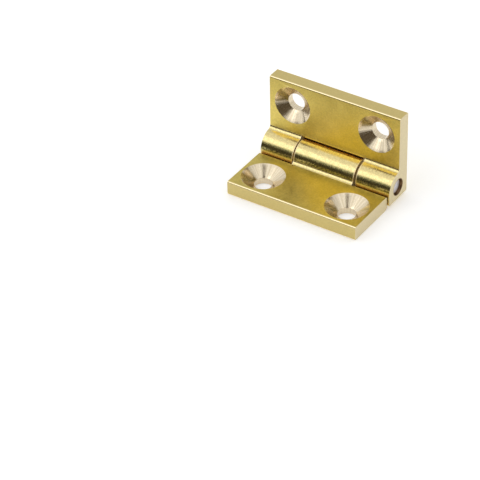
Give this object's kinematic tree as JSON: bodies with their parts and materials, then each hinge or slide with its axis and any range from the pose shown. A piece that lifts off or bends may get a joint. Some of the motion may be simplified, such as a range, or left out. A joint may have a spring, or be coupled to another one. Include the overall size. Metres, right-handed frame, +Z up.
{
  "type": "butt hinge",
  "caption": "Small solid brass butt hinge, opened to a right angle, with square-backed knuckles that stop it there, a steel pin and countersunk screw holes.",
  "frame": {"origin": "on the lying leaf's back face, straight under the middle of the pin's axis", "axes": "+X along the pin, -Y from the pin towards the lying leaf's free edge, +Z up from the lying leaf's back towards the standing leaf's free edge"},
  "size_m": [0.03, 0.0192, 0.0192],
  "materials": {
    "leaf_brass": "satin drawn brass, bare metal",
    "pin_steel": "plain cut stainless steel"
  },
  "bodies": {
    "fixed_leaf": {"lower_leaf": "leaf_brass"},
    "swinging_leaf": {"upright_leaf": "leaf_brass", "hinge_pin": "pin_steel"}
  },
  "joints": [
    {"name": "leaf_swing", "type": "hinge", "parent": "fixed_leaf", "child": "swinging_leaf", "pos_m": [0, 0, 0.0034], "axis": [1, 0, 0], "range_deg": [-5, 90]}
  ]
}
